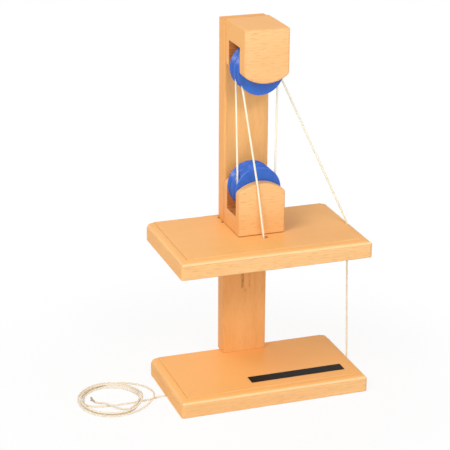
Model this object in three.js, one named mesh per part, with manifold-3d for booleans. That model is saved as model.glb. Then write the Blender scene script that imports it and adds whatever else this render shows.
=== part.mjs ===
// Block and tackle on a post: a platform slides up the post on a three part tackle.
// Millimetres, +Z up, front towards -Y. The origin is on the table, under the middle of the platform's plan.
import * as THREE from "three";
import { mergeVertices } from "three/addons/utils/BufferGeometryUtils.js";
import Module from "manifold-3d";

const wasm = await Module();
wasm.setup();

// Boards of the base and the platform
const BOARD_WIDTH = 205;
const BOARD_THICKNESS = 19;
const BASE_DEPTH = 112;
const ROUT_LEDGE = 1.2;
const ROUT_RUN = 7.6;
const ROUT_RISE = 3.7;
const ROUT_STEP = 0.8;
const CORNER_RADIUS = 4;
const EDGE_EASE = 0.8;

// Post, which stands on the back of the base and overhangs it
const POST_WIDTH = 48.5;
const POST_THICKNESS = 19;
const POST_HEIGHT = 365.5;
const POST_OVERHANG = 6;
const POST_EDGE_RADIUS = 2.4;

// Platform, its notch round the post and the keeper strip behind
const PLATFORM_LIFT = 132;
const SLIDE_CLEARANCE = 0.4;
const KEEPER_THICKNESS = 3.6;
const KEEPER_LAP = 14;

// Sheaves and their axles
const SHEAVE_RADIUS = 24.5;
const SHEAVE_WIDTH = 13;
const SHEAVE_LAND = 0.4;
const RIM_EASE = 0.9;
const GROOVE_DEPTH = 5.7;
const GROOVE_DRIFT_RUN = 17;
const AXLE_RADIUS = 3;
const AXLE_CLEARANCE = 0.3;
const SHEAVE_GAP = 0.4;

// Wooden blocks
const UPPER_BLOCK_WIDTH = 46.8;
const LOWER_BLOCK_WIDTH = 49.7;
const UPPER_BLOCK_RISE = 2.7;
const BLOCK_EASE = 0.6;
const CHEEK_ARC_RADIUS = 37;
const CHEEK_CORNER = 2.5;
const SHEAVE_HEADROOM = 1.5;
const UPPER_FRONT_CHEEK = 15.7;
const UPPER_BACK_CHEEK = 9.6;
const UPPER_HEAD = 18;
const UPPER_CHEEK_REACH = 8.3;
const SPACER_THICKNESS = 4.8;
const SPACER_RADIUS = 7;
const LOWER_FRONT_CHEEK = 11;
const LOWER_BACK_CHEEK = 9.4;
const LOWER_FOOT = 18.5;
const LOWER_CHEEK_REACH = 10.7;
const BLOCK_TO_POST = 1.2;

// Countersunk wood screws
const SCREW_SHANK_RADIUS = 1.9;
const SCREW_HEAD_RADIUS = 3.8;
const SCREW_TIP = 3;
const SCREW_GRIP = 15;
const SCREW_SPACING = 26;
const KEEPER_SCREW_SHANK_RADIUS = 1.3;
const KEEPER_SCREW_HEAD_RADIUS = 2.7;
const KEEPER_SCREW_GRIP = 12;

// Bare strip on the front of the base
const STRIP_LENGTH = 104;
const STRIP_WIDTH = 13.6;
const STRIP_THICKNESS = 0.4;
const STRIP_FROM_FRONT = 20.5;
const STRIP_FROM_RIGHT = 18.2;

// Cord, its guides and its coil
const CORD_RADIUS = 1;
const CORD_GAP = 0.3;
const CHANNEL_HALF_WIDTH = 1.5;
const GUIDE_FROM_FRONT = 55;
const BASE_GUIDE_INSET = 1.1;
const PLATFORM_GUIDE_INSET = 5;
const CORD_BEND_RADIUS = 4;
const CORD_TURN_LENGTH = 3;
const ROUTE_STEP = 5;
const BECKET_FROM_BLOCK = 7.4;
const BECKET_HOLE_RADIUS = 3;
const BECKET_HOLE_OFFSET = 1.6;
const BECKET_CORD_X = -0.7;
const BECKET_CHEEK_X = -5.9;
const KNOT_RADIUS = 3.1;
const KNOT_HEIGHT = 4.8;
const KNOT_ROOM = 1;
const COIL_CENTRE_X = -160;
const COIL_CENTRE_Y = 0.5;
const COIL_INNER_RADIUS = 28;
const COIL_PITCH = 2.8;
const COIL_OVAL = 3;
const COIL_LOOSE_BULGE = 15;
const COIL_BRIDGE_RISE = 3;

// Gaps between pieces that touch, and the overrun of cuts
const JOINT_GAP = 0.05;
const SEAT_GAP = 0.3;
const OVERRUN = 2;

// Counts and shares
const SHEAVE_SIDES = 40;
const AXLE_SIDES = 24;
const SCREW_SIDES = 16;
const CORD_SIDES = 8;
const COIL_SIDES = 6;
const COIL_STEPS_A_LOOP = 24;
const CURVE_STEPS = 6;
const WRAP_STEPS = 14;
const GAP_STEPS_A_LEG = 4;
const AXLE_BLIND_SHARE = 0.6;
const COIL_TURNS = 3.64;
const COIL_LOW_TURNS = 1.75;
const COIL_CLIMB_TURNS = 0.5;
const COIL_LOOSE_MIDDLE_TURNS = 1.43;
const COIL_LOOSE_TURNS = 0.56;
const COIL_START_ANGLE = (-190 * Math.PI) / 180;
const COIL_BRIDGE_ANGLE = (-18 * Math.PI) / 180;
const COIL_BRIDGE_SHARPNESS = 8;

// Places that follow from the sizes
const PLATFORM_DEPTH = BASE_DEPTH + POST_OVERHANG + SLIDE_CLEARANCE + KEEPER_THICKNESS;
const HALF_WIDTH = BOARD_WIDTH / 2;
const FRONT_Y = -PLATFORM_DEPTH / 2;
const BASE_BACK_Y = FRONT_Y + BASE_DEPTH;
const POST_BACK_Y = BASE_BACK_Y + POST_OVERHANG;
const POST_FRONT_Y = POST_BACK_Y - POST_THICKNESS;
const PLATFORM_BACK_Y = FRONT_Y + PLATFORM_DEPTH;
const NOTCH_HALF_WIDTH = POST_WIDTH / 2 + SLIDE_CLEARANCE;
const KEEPER_HALF_LENGTH = NOTCH_HALF_WIDTH + KEEPER_LAP;
const LEDGE_HEIGHT = BOARD_THICKNESS - ROUT_STEP - ROUT_RISE;
const BASE_TOP = BOARD_THICKNESS;
const POST_TOP = BASE_TOP + POST_HEIGHT;
const PLATFORM_BOTTOM = BASE_TOP + PLATFORM_LIFT;
const PLATFORM_TOP = PLATFORM_BOTTOM + BOARD_THICKNESS;
const GUIDE_Y = FRONT_Y + GUIDE_FROM_FRONT;
const BASE_GUIDE_X = HALF_WIDTH - BASE_GUIDE_INSET;
const PLATFORM_GUIDE_X = HALF_WIDTH - PLATFORM_GUIDE_INSET;
const CORD_REST_Z = CORD_RADIUS + CORD_GAP;
const PITCH_RADIUS = SHEAVE_RADIUS - GROOVE_DEPTH + CORD_GAP + CORD_RADIUS;
const STACK = 2 * SHEAVE_WIDTH + 3 * SHEAVE_GAP;
const SHEAVE_STEP = SHEAVE_WIDTH + SHEAVE_GAP;

// The upper block hangs its slot from a solid head, and its spacer lies behind the sheaves
const UPPER_SLOT = STACK + SPACER_THICKNESS + SHEAVE_GAP;
const UPPER = {
  width: UPPER_BLOCK_WIDTH,
  back: POST_FRONT_Y - JOINT_GAP,
  front: POST_FRONT_Y - UPPER_BACK_CHEEK - UPPER_SLOT - UPPER_FRONT_CHEEK,
  slotFront: POST_FRONT_Y - UPPER_BACK_CHEEK - UPPER_SLOT,
  slotBack: POST_FRONT_Y - UPPER_BACK_CHEEK,
  slotEnd: POST_TOP - UPPER_HEAD,
  axle: POST_TOP - UPPER_HEAD - SHEAVE_HEADROOM - SHEAVE_RADIUS,
};
const UPPER_FRONT_GROOVE = UPPER.slotFront + SHEAVE_GAP + SHEAVE_WIDTH / 2;
const UPPER_REAR_GROOVE = UPPER_FRONT_GROOVE + SHEAVE_STEP;

// The lower block stands on the platform, just clear of the post
const LOWER_BACK = POST_FRONT_Y - BLOCK_TO_POST;
const LOWER = {
  width: LOWER_BLOCK_WIDTH,
  back: LOWER_BACK,
  front: LOWER_BACK - LOWER_BACK_CHEEK - STACK - LOWER_FRONT_CHEEK,
  slotFront: LOWER_BACK - LOWER_BACK_CHEEK - STACK,
  slotBack: LOWER_BACK - LOWER_BACK_CHEEK,
  slotEnd: PLATFORM_TOP + LOWER_FOOT,
  axle: PLATFORM_TOP + LOWER_FOOT + SHEAVE_HEADROOM + SHEAVE_RADIUS,
};
const LOWER_FRONT_GROOVE = LOWER.slotFront + SHEAVE_GAP + SHEAVE_WIDTH / 2;
const LOWER_REAR_GROOVE = LOWER_FRONT_GROOVE + SHEAVE_STEP;
const BECKET_Y = LOWER.front - BECKET_FROM_BLOCK;

// Where the standing end of the cord crosses the top edge of the lower block's front cheek
const CHEEK_ARC_CENTRE = LOWER.axle + LOWER_CHEEK_REACH - CHEEK_ARC_RADIUS;
const CHEEK_EDGE_Y = LOWER.front - CORD_RADIUS - CORD_GAP;
const CHEEK_EDGE_Z = CHEEK_ARC_CENTRE + Math.sqrt(CHEEK_ARC_RADIUS ** 2 - BECKET_CHEEK_X ** 2) + CORD_GAP;

// It drifts sideways from there to the upper front sheave, and the grooves have a floor wide enough for that
const CORD_DRIFT = (UPPER_FRONT_GROOVE - CHEEK_EDGE_Y) / (UPPER.axle - CHEEK_EDGE_Z);
const GROOVE_FLOOR = CORD_DRIFT * GROOVE_DRIFT_RUN;

const WOOD = { color: 0xf2bd82, roughness: 0.55, metalness: 0 };
const BLUE_PLASTIC = { color: 0x2f5fc8, roughness: 0.35, metalness: 0 };
const STEEL = { color: 0xb9bcc0, roughness: 0.35, metalness: 1 };
const BLACK_STRIP = { color: 0x1c1a1c, roughness: 0.5, metalness: 0 };
const CREAM_CORD = { color: 0xf5ead2, roughness: 0.9, metalness: 0 };

const assembly = new THREE.Group();

function addPiece(name, geometry, finish) {
  const mesh = new THREE.Mesh(geometry, new THREE.MeshStandardMaterial(finish));
  mesh.name = name;
  assembly.add(mesh);
  return mesh;
}

// Conversions between geometries and solids
function solidOf(geometry) {
  const bare = geometry.clone();
  bare.deleteAttribute("normal");
  bare.deleteAttribute("uv");
  const merged = mergeVertices(bare);
  return new wasm.Manifold(
    new wasm.Mesh({
      numProp: 3,
      vertProperties: new Float32Array(merged.attributes.position.array),
      triVerts: new Uint32Array(merged.index.array),
    }),
  );
}

function geometryOf(solid) {
  const { vertProperties, triVerts } = solid.getMesh();
  const geometry = new THREE.BufferGeometry();
  geometry.setAttribute("position", new THREE.BufferAttribute(vertProperties, 3));
  geometry.setIndex(new THREE.BufferAttribute(triVerts, 1));
  geometry.computeVertexNormals();
  return geometry;
}

// Prisms of a shape between two places on the third axis
function prismZ(shape, from, to) {
  const options = { depth: to - from, bevelEnabled: false, curveSegments: CURVE_STEPS };
  return new THREE.ExtrudeGeometry(shape, options).translate(0, 0, from);
}

function prismX(shape, from, to) {
  const turn = new THREE.Matrix4().makeBasis(
    new THREE.Vector3(0, 1, 0),
    new THREE.Vector3(0, 0, 1),
    new THREE.Vector3(1, 0, 0),
  );
  return prismZ(shape, from, to).applyMatrix4(turn);
}

function prismY(shape, from, to) {
  return prismZ(shape, -to, -from).rotateX(Math.PI / 2);
}

function box(x0, x1, y0, y1, z0, z1) {
  const geometry = new THREE.BoxGeometry(x1 - x0, y1 - y0, z1 - z0);
  return geometry.translate((x0 + x1) / 2, (y0 + y1) / 2, (z0 + z1) / 2);
}

// Rods along Y and along Z
function rodY(radius, from, to, x, z, sides) {
  return new THREE.CylinderGeometry(radius, radius, to - from, sides).translate(x, (from + to) / 2, z);
}

function rodZ(radius, from, to, x, y, sides) {
  const rod = new THREE.CylinderGeometry(radius, radius, to - from, sides).rotateX(Math.PI / 2);
  return rod.translate(x, y, (from + to) / 2);
}

// Plan outline of a board, its corners rounded
function boardPlan(depth) {
  const r = CORNER_RADIUS;
  const shape = new THREE.Shape();
  shape.absarc(-HALF_WIDTH + r, r, r, Math.PI, 1.5 * Math.PI, false);
  shape.absarc(HALF_WIDTH - r, r, r, 1.5 * Math.PI, 2 * Math.PI, false);
  shape.absarc(HALF_WIDTH - r, depth - r, r, 0, Math.PI / 2, false);
  shape.absarc(-HALF_WIDTH + r, depth - r, r, Math.PI / 2, Math.PI, false);
  return shape;
}

// Height of the round on a routed edge over the board's underside, by the distance in from the face
function routedHeight(inset) {
  const share = (ROUT_LEDGE + ROUT_RUN - inset) / ROUT_RUN;
  return LEDGE_HEIGHT + ROUT_RISE * Math.sqrt(1 - share ** 2);
}

// Section of a board: down from its top, a routed edge has a small step, a flat round and a ledge
function boardSection(start, end, endRouted) {
  const quarter = Math.PI / 2;
  const inset = ROUT_LEDGE + ROUT_RUN;
  const shape = new THREE.Shape();
  shape.moveTo(start, EDGE_EASE);
  shape.lineTo(start + EDGE_EASE, 0);
  shape.lineTo(end - EDGE_EASE, 0);
  shape.lineTo(end, EDGE_EASE);
  if (endRouted) {
    shape.lineTo(end, LEDGE_HEIGHT);
    shape.absellipse(end - inset, LEDGE_HEIGHT, ROUT_RUN, ROUT_RISE, 0, quarter, false, 0);
    shape.lineTo(end - inset, BOARD_THICKNESS);
  } else {
    shape.lineTo(end, BOARD_THICKNESS - EDGE_EASE);
    shape.lineTo(end - EDGE_EASE, BOARD_THICKNESS);
  }
  shape.lineTo(start + inset, BOARD_THICKNESS);
  shape.absellipse(start + inset, LEDGE_HEIGHT, ROUT_RUN, ROUT_RISE, quarter, Math.PI, false, 0);
  shape.lineTo(start, LEDGE_HEIGHT);
  return shape;
}

// A board is the part that its plan and its two sections have in common
function routedBoard(depth) {
  const plan = solidOf(prismZ(boardPlan(depth), 0, BOARD_THICKNESS));
  const sides = solidOf(prismX(boardSection(0, depth, false), -HALF_WIDTH, HALF_WIDTH));
  const front = solidOf(prismY(boardSection(-HALF_WIDTH, HALF_WIDTH, true), 0, depth));
  return plan.intersect(sides).intersect(front);
}

// Upright channel for the cord in the right edge of a board, open to the side
function edgeChannel(x, from, to) {
  const shape = new THREE.Shape();
  shape.moveTo(HALF_WIDTH + OVERRUN, GUIDE_Y - CHANNEL_HALF_WIDTH);
  shape.lineTo(HALF_WIDTH + OVERRUN, GUIDE_Y + CHANNEL_HALF_WIDTH);
  shape.absarc(x, GUIDE_Y, CHANNEL_HALF_WIDTH, Math.PI / 2, 1.5 * Math.PI, false);
  return solidOf(prismZ(shape, from - OVERRUN, to + OVERRUN));
}

// Groove for the cord across the underside of the base, its inner corner rounded where the cord turns up
function undersideGroove() {
  const shape = new THREE.Shape();
  shape.moveTo(GUIDE_Y - CHANNEL_HALF_WIDTH, -OVERRUN);
  shape.lineTo(GUIDE_Y + CHANNEL_HALF_WIDTH, -OVERRUN);
  shape.absarc(GUIDE_Y, CORD_REST_Z, CHANNEL_HALF_WIDTH, 0, Math.PI, false);
  const groove = solidOf(prismX(shape, -HALF_WIDTH - OVERRUN, BASE_GUIDE_X));
  const round = CORD_BEND_RADIUS - CHANNEL_HALF_WIDTH;
  const x = BASE_GUIDE_X - CORD_BEND_RADIUS;
  const z = CORD_REST_Z + CORD_BEND_RADIUS;
  const corner = new THREE.Shape();
  corner.moveTo(BASE_GUIDE_X, CORD_REST_Z);
  corner.lineTo(BASE_GUIDE_X, z);
  corner.absarc(x, z, round, 0, -Math.PI / 2, true);
  corner.lineTo(x, CORD_REST_Z);
  const turn = prismY(corner, GUIDE_Y - CHANNEL_HALF_WIDTH, GUIDE_Y + CHANNEL_HALF_WIDTH);
  return groove.add(solidOf(turn));
}

// Countersunk screw along +Y from its head, and the hole that it needs
function screwProfile(shank, head, length) {
  return [
    new THREE.Vector2(0, 0),
    new THREE.Vector2(head, 0),
    new THREE.Vector2(shank, head - shank),
    new THREE.Vector2(shank, length - SCREW_TIP),
    new THREE.Vector2(0, length),
  ];
}

function screwHoleProfile(shank, head, length) {
  return [
    new THREE.Vector2(0, -OVERRUN),
    new THREE.Vector2(head + SEAT_GAP, -OVERRUN),
    new THREE.Vector2(head + SEAT_GAP, SEAT_GAP),
    new THREE.Vector2(shank + SEAT_GAP, head - shank + SEAT_GAP),
    new THREE.Vector2(shank + SEAT_GAP, length + SEAT_GAP),
    new THREE.Vector2(0, length + SEAT_GAP),
  ];
}

function turned(profile, sides) {
  return new THREE.LatheGeometry(profile, sides);
}

// A screw is placed by the point of its head and the direction that it is driven in
function screwPlace(geometry, point, direction) {
  const turn = new THREE.Quaternion().setFromUnitVectors(new THREE.Vector3(0, 1, 0), direction);
  return geometry.applyQuaternion(turn).translate(point.x, point.y, point.z);
}

function placedScrew({ at, into, shank, head, length }) {
  const sunk = at.clone().addScaledVector(into, SEAT_GAP);
  return screwPlace(turned(screwProfile(shank, head, length), SCREW_SIDES), sunk, into);
}

function placedScrewHole({ at, into, shank, head, length }) {
  const hole = turned(screwHoleProfile(shank, head, length + SEAT_GAP), SCREW_SIDES);
  return solidOf(screwPlace(hole, at, into));
}

function drill(solid, screws) {
  return screws.reduce((rest, screw) => rest.subtract(placedScrewHole(screw)), solid);
}

const UP = new THREE.Vector3(0, 0, 1);
const FORWARD = new THREE.Vector3(0, -1, 0);
const SIDES = [
  ["left", -1],
  ["right", 1],
];

function woodScrew(x, y, z, into, through) {
  return {
    at: new THREE.Vector3(x, y, z),
    into,
    shank: SCREW_SHANK_RADIUS,
    head: SCREW_HEAD_RADIUS,
    length: through + SCREW_GRIP,
  };
}

const SCREW_HALF_SPACING = SCREW_SPACING / 2;
const POST_SCREWS = SIDES.map(([, side]) =>
  woodScrew(side * SCREW_HALF_SPACING, (POST_FRONT_Y + BASE_BACK_Y) / 2, 0, UP, BOARD_THICKNESS),
);
const UPPER_BLOCK_SCREWS = SIDES.map(([, side]) =>
  woodScrew(side * SCREW_HALF_SPACING, POST_BACK_Y, POST_TOP - UPPER_HEAD / 2, FORWARD, POST_THICKNESS),
);
const LOWER_BLOCK_SCREWS = SIDES.map(([, side]) =>
  woodScrew(side * SCREW_HALF_SPACING, (LOWER.front + LOWER.back) / 2, PLATFORM_BOTTOM, UP, BOARD_THICKNESS),
);
const KEEPER_SCREWS = SIDES.map(([, side]) => ({
  at: new THREE.Vector3(
    side * (NOTCH_HALF_WIDTH + KEEPER_LAP / 2),
    PLATFORM_BACK_Y,
    PLATFORM_BOTTOM + BOARD_THICKNESS / 2,
  ),
  into: FORWARD,
  shank: KEEPER_SCREW_SHANK_RADIUS,
  head: KEEPER_SCREW_HEAD_RADIUS,
  length: KEEPER_THICKNESS + KEEPER_SCREW_GRIP,
}));

function addScrews(name, screws) {
  screws.forEach((screw, i) => addPiece(`${name}_${SIDES[i][0]}`, placedScrew(screw), STEEL));
}

// Base, grooved below for the cord and notched for it at the right
function buildBase() {
  const board = routedBoard(BASE_DEPTH).translate(0, FRONT_Y, 0);
  const grooved = board.subtract(undersideGroove()).subtract(edgeChannel(BASE_GUIDE_X, 0, BASE_TOP));
  addPiece("base_board", geometryOf(drill(grooved, POST_SCREWS)), WOOD);
  addScrews("post_screw", POST_SCREWS);
  const right = HALF_WIDTH - STRIP_FROM_RIGHT;
  const front = FRONT_Y + STRIP_FROM_FRONT;
  const back = front + STRIP_WIDTH;
  const bottom = BASE_TOP + JOINT_GAP;
  const strip = box(right - STRIP_LENGTH, right, front, back, bottom, bottom + STRIP_THICKNESS);
  addPiece("name_strip", strip, BLACK_STRIP);
}

// Post with rounded upright edges
function buildPost() {
  const r = POST_EDGE_RADIUS;
  const half = POST_WIDTH / 2;
  const shape = new THREE.Shape();
  shape.absarc(-half + r, POST_FRONT_Y + r, r, Math.PI, 1.5 * Math.PI, false);
  shape.absarc(half - r, POST_FRONT_Y + r, r, 1.5 * Math.PI, 2 * Math.PI, false);
  shape.absarc(half - r, POST_BACK_Y - r, r, 0, Math.PI / 2, false);
  shape.absarc(-half + r, POST_BACK_Y - r, r, Math.PI / 2, Math.PI, false);
  const bar = solidOf(prismZ(shape, BASE_TOP + JOINT_GAP, POST_TOP));
  addPiece("post", geometryOf(drill(bar, [...POST_SCREWS, ...UPPER_BLOCK_SCREWS])), WOOD);
}

// Front outline of a block: square at its root, an arc with softened corners at its free end
function blockOutline(width, root, apex) {
  const half = width / 2;
  const away = Math.sign(apex - root);
  const centre = apex - away * CHEEK_ARC_RADIUS;
  const shoulder = centre + away * Math.sqrt(CHEEK_ARC_RADIUS ** 2 - half ** 2);
  const softened = half - CHEEK_CORNER;
  const cornerEnd = centre + away * Math.sqrt(CHEEK_ARC_RADIUS ** 2 - softened ** 2);
  const cornerAngle = Math.atan2(cornerEnd - centre, softened);
  const shape = new THREE.Shape();
  shape.moveTo(-half, root);
  shape.lineTo(half, root);
  shape.lineTo(half, shoulder - away * CHEEK_CORNER);
  shape.quadraticCurveTo(half, shoulder, softened, cornerEnd);
  shape.absarc(0, centre, CHEEK_ARC_RADIUS, cornerAngle, Math.PI - cornerAngle, away < 0);
  shape.quadraticCurveTo(-half, shoulder, -half, shoulder - away * CHEEK_CORNER);
  return shape;
}

// A block is its outline drawn through its depth, with eased edges, a slot across and a blind axle hole
function slottedBlock(place, root, apex, slotMouth, frontCheek) {
  const inner = BLOCK_EASE;
  const options = {
    depth: place.back - place.front - 2 * inner,
    curveSegments: CURVE_STEPS,
    bevelThickness: inner,
    bevelSize: inner,
    bevelOffset: -inner,
    bevelSegments: 1,
  };
  const body = new THREE.ExtrudeGeometry(blockOutline(place.width, root, apex), options);
  body.translate(0, 0, inner - place.back).rotateX(Math.PI / 2);
  const reach = place.width / 2 + OVERRUN;
  const low = Math.min(place.slotEnd, slotMouth);
  const high = Math.max(place.slotEnd, slotMouth);
  const slot = box(-reach, reach, place.slotFront, place.slotBack, low, high);
  const blind = place.slotFront - frontCheek * AXLE_BLIND_SHARE;
  const hole = rodY(AXLE_RADIUS + SEAT_GAP, blind, place.back + OVERRUN, 0, place.axle, AXLE_SIDES);
  return solidOf(body).subtract(solidOf(slot)).subtract(solidOf(hole));
}

function axle(place, frontCheek) {
  const from = place.slotFront - frontCheek * AXLE_BLIND_SHARE + SEAT_GAP;
  return rodY(AXLE_RADIUS, from, place.back - SEAT_GAP, 0, place.axle, AXLE_SIDES);
}

// Sheave turned about Y: plain faces, eased rims with a narrow land and a V groove with a flat floor
function sheaveProfile() {
  const half = SHEAVE_WIDTH / 2;
  const bore = AXLE_RADIUS + AXLE_CLEARANCE;
  const floor = SHEAVE_RADIUS - GROOVE_DEPTH;
  const eased = half - RIM_EASE;
  const profile = [
    [bore, -half],
    [SHEAVE_RADIUS - RIM_EASE, -half],
    [SHEAVE_RADIUS, -eased],
    [SHEAVE_RADIUS, -eased + SHEAVE_LAND],
    [floor, -GROOVE_FLOOR / 2],
    [floor, GROOVE_FLOOR / 2],
    [SHEAVE_RADIUS, eased - SHEAVE_LAND],
    [SHEAVE_RADIUS, eased],
    [SHEAVE_RADIUS - RIM_EASE, half],
    [bore, half],
    [bore, -half],
  ];
  return profile.map(([radius, along]) => new THREE.Vector2(radius, along));
}

function addSheave(name, y, z) {
  const mesh = addPiece(name, turned(sheaveProfile(), SHEAVE_SIDES), BLUE_PLASTIC);
  mesh.position.set(0, y, z);
}

function buildUpperBlock() {
  const apex = UPPER.axle - UPPER_CHEEK_REACH;
  const root = POST_TOP + UPPER_BLOCK_RISE;
  const body = slottedBlock(UPPER, root, apex, apex - OVERRUN, UPPER_FRONT_CHEEK);
  addPiece("upper_block", geometryOf(drill(body, UPPER_BLOCK_SCREWS)), WOOD);
  addScrews("upper_block_screw", UPPER_BLOCK_SCREWS);
  addPiece("upper_axle", axle(UPPER, UPPER_FRONT_CHEEK), STEEL);
  addSheave("upper_front_sheave", UPPER_FRONT_GROOVE, UPPER.axle);
  addSheave("upper_rear_sheave", UPPER_REAR_GROOVE, UPPER.axle);
  const spacerFront = UPPER_REAR_GROOVE + SHEAVE_WIDTH / 2 + SHEAVE_GAP;
  const spacerBack = UPPER.slotBack - SHEAVE_GAP;
  const collar = solidOf(rodY(SPACER_RADIUS, spacerFront, spacerBack, 0, UPPER.axle, AXLE_SIDES));
  const boreRadius = AXLE_RADIUS + AXLE_CLEARANCE;
  const bore = rodY(boreRadius, spacerFront - OVERRUN, spacerBack + OVERRUN, 0, UPPER.axle, AXLE_SIDES);
  addPiece("upper_spacer", geometryOf(collar.subtract(solidOf(bore))), STEEL);
}

// Platform: notched round the post from behind and rebated there for the keeper.
// It is drilled for the becket, with room for the knot below, and notched for the cord.
function buildPlatform() {
  const board = routedBoard(PLATFORM_DEPTH).translate(0, FRONT_Y, PLATFORM_BOTTOM);
  const low = PLATFORM_BOTTOM - OVERRUN;
  const high = PLATFORM_TOP + OVERRUN;
  const back = PLATFORM_BACK_Y + OVERRUN;
  const notch = box(-NOTCH_HALF_WIDTH, NOTCH_HALF_WIDTH, POST_FRONT_Y - SLIDE_CLEARANCE, back, low, high);
  const keeperFront = PLATFORM_BACK_Y - KEEPER_THICKNESS;
  const rebateReach = KEEPER_HALF_LENGTH + SEAT_GAP;
  const rebate = box(-rebateReach, rebateReach, keeperFront - JOINT_GAP, back, low, high);
  const holeX = BECKET_CORD_X + BECKET_HOLE_OFFSET;
  const hole = rodZ(BECKET_HOLE_RADIUS, low, high, holeX, BECKET_Y, AXLE_SIDES);
  const room = KNOT_RADIUS + KNOT_ROOM;
  const knotRoom = rodZ(room, low, knotTop() + SEAT_GAP, BECKET_CORD_X, BECKET_Y, AXLE_SIDES);
  const cuts = [notch, rebate, hole, knotRoom].map(solidOf);
  cuts.push(edgeChannel(PLATFORM_GUIDE_X, PLATFORM_BOTTOM, PLATFORM_TOP));
  const cut = cuts.reduce((rest, tool) => rest.subtract(tool), board);
  const drilled = drill(cut, [...LOWER_BLOCK_SCREWS, ...KEEPER_SCREWS]);
  addPiece("platform_board", geometryOf(drilled), WOOD);

  const ease = EDGE_EASE / 2;
  const strip = new THREE.Shape();
  strip.moveTo(keeperFront, PLATFORM_BOTTOM);
  strip.lineTo(PLATFORM_BACK_Y - ease, PLATFORM_BOTTOM);
  strip.lineTo(PLATFORM_BACK_Y, PLATFORM_BOTTOM + ease);
  strip.lineTo(PLATFORM_BACK_Y, PLATFORM_TOP - ease);
  strip.lineTo(PLATFORM_BACK_Y - ease, PLATFORM_TOP);
  strip.lineTo(keeperFront, PLATFORM_TOP);
  const keeper = solidOf(prismX(strip, -KEEPER_HALF_LENGTH, KEEPER_HALF_LENGTH));
  addPiece("keeper_strip", geometryOf(drill(keeper, KEEPER_SCREWS)), WOOD);
  addScrews("keeper_screw", KEEPER_SCREWS);
}

function buildLowerBlock() {
  const apex = LOWER.axle + LOWER_CHEEK_REACH;
  const root = PLATFORM_TOP + JOINT_GAP;
  const body = slottedBlock(LOWER, root, apex, apex + OVERRUN, LOWER_FRONT_CHEEK);
  addPiece("lower_block", geometryOf(drill(body, LOWER_BLOCK_SCREWS)), WOOD);
  addScrews("lower_block_screw", LOWER_BLOCK_SCREWS);
  addPiece("lower_axle", axle(LOWER, LOWER_FRONT_CHEEK), STEEL);
  addSheave("lower_front_sheave", LOWER_FRONT_GROOVE, LOWER.axle);
  addSheave("lower_rear_sheave", LOWER_REAR_GROOVE, LOWER.axle);
}

// A route through given points, which are the rings of its tube. Each ring is square to the legs it joins.
class CordRoute extends THREE.Curve {
  constructor(points) {
    super();
    this.points = points;
  }

  getPoint(t, target = new THREE.Vector3()) {
    const last = this.points.length - 1;
    const leg = Math.min(Math.floor(t * last), last - 1);
    return target.lerpVectors(this.points[leg], this.points[leg + 1], t * last - leg);
  }

  getSpacedPoints() {
    return this.points.map((point) => point.clone());
  }

  getTangentAt(u, target = new THREE.Vector3()) {
    const last = this.points.length - 1;
    const here = Math.round(u * last);
    const before = this.points[Math.max(here - 1, 0)];
    const after = this.points[Math.min(here + 1, last)];
    const at = this.points[here];
    const arriving = at.clone().sub(before).normalize();
    const leaving = after.clone().sub(at).normalize();
    return target.addVectors(arriving, leaving).normalize();
  }
}

function cordSection(sides) {
  const corners = [];
  for (let i = 0; i < sides; i += 1) {
    const angle = ((i + 0.5) * 2 * Math.PI) / sides;
    corners.push(new THREE.Vector2(CORD_RADIUS * Math.cos(angle), CORD_RADIUS * Math.sin(angle)));
  }
  return new THREE.Shape(corners);
}

function cordTube(points, sides = CORD_SIDES) {
  const options = {
    steps: points.length - 1,
    bevelEnabled: false,
    extrudePath: new CordRoute(points),
  };
  return new THREE.ExtrudeGeometry(cordSection(sides), options);
}

function point(x, y, z) {
  return new THREE.Vector3(x, y, z);
}

// Half of the joint between two stretches is taken off each end of a route
function trimmed(points) {
  const route = points.map((each) => each.clone());
  const last = route.length - 1;
  const trim = CORD_GAP / 2;
  const out = route[1].clone().sub(route[0]).normalize();
  const back = route[last - 1].clone().sub(route[last]).normalize();
  route[0].addScaledVector(out, trim);
  route[last].addScaledVector(back, trim);
  return route;
}

function addCord(name, points, sides) {
  addPiece(name, cordTube(trimmed(points), sides), CREAM_CORD);
}

// Turn of the cord round a sheave, by angles in the XZ plane
function wrap(y, z, from, to) {
  const points = [];
  for (let i = 0; i <= WRAP_STEPS; i += 1) {
    const angle = from + ((to - from) * i) / WRAP_STEPS;
    points.push(point(PITCH_RADIUS * Math.cos(angle), y, z + PITCH_RADIUS * Math.sin(angle)));
  }
  return points;
}

// Angle at which a line from an outside point touches the cord's circle round an axle at height z
function touchAngle(outside, z, side) {
  const towards = Math.atan2(outside.z - z, outside.x);
  const reach = Math.hypot(outside.x, outside.z - z);
  return towards + side * Math.acos(PITCH_RADIUS / reach);
}

function knotTop() {
  return PLATFORM_BOTTOM + KNOT_ROOM + KNOT_HEIGHT;
}

// Stopper knot as a lump drawn out along the cord
function knot(centre, along) {
  const lump = new THREE.SphereGeometry(KNOT_RADIUS, CORD_SIDES + CURVE_STEPS, CORD_SIDES);
  lump.scale(1, KNOT_HEIGHT / (2 * KNOT_RADIUS), 1);
  const turn = new THREE.Quaternion().setFromUnitVectors(point(0, 1, 0), along.clone().normalize());
  return lump.applyQuaternion(turn).translate(centre.x, centre.y, centre.z);
}

// The standing end, from its knot under the platform to the top edge of the front cheek
function becketRoute() {
  return [
    point(BECKET_CORD_X, BECKET_Y, knotTop() + CORD_GAP),
    point(BECKET_CORD_X, BECKET_Y, PLATFORM_TOP + CORD_RADIUS),
    point(BECKET_CHEEK_X, CHEEK_EDGE_Y, CHEEK_EDGE_Z),
  ];
}

// A short straight turn at the end of a route, towards where the next stretch goes
function turnTowards(route, target) {
  const last = route[route.length - 1];
  const step = target.clone().sub(last).setLength(CORD_TURN_LENGTH);
  return [...route, last.clone().add(step)];
}

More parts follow.
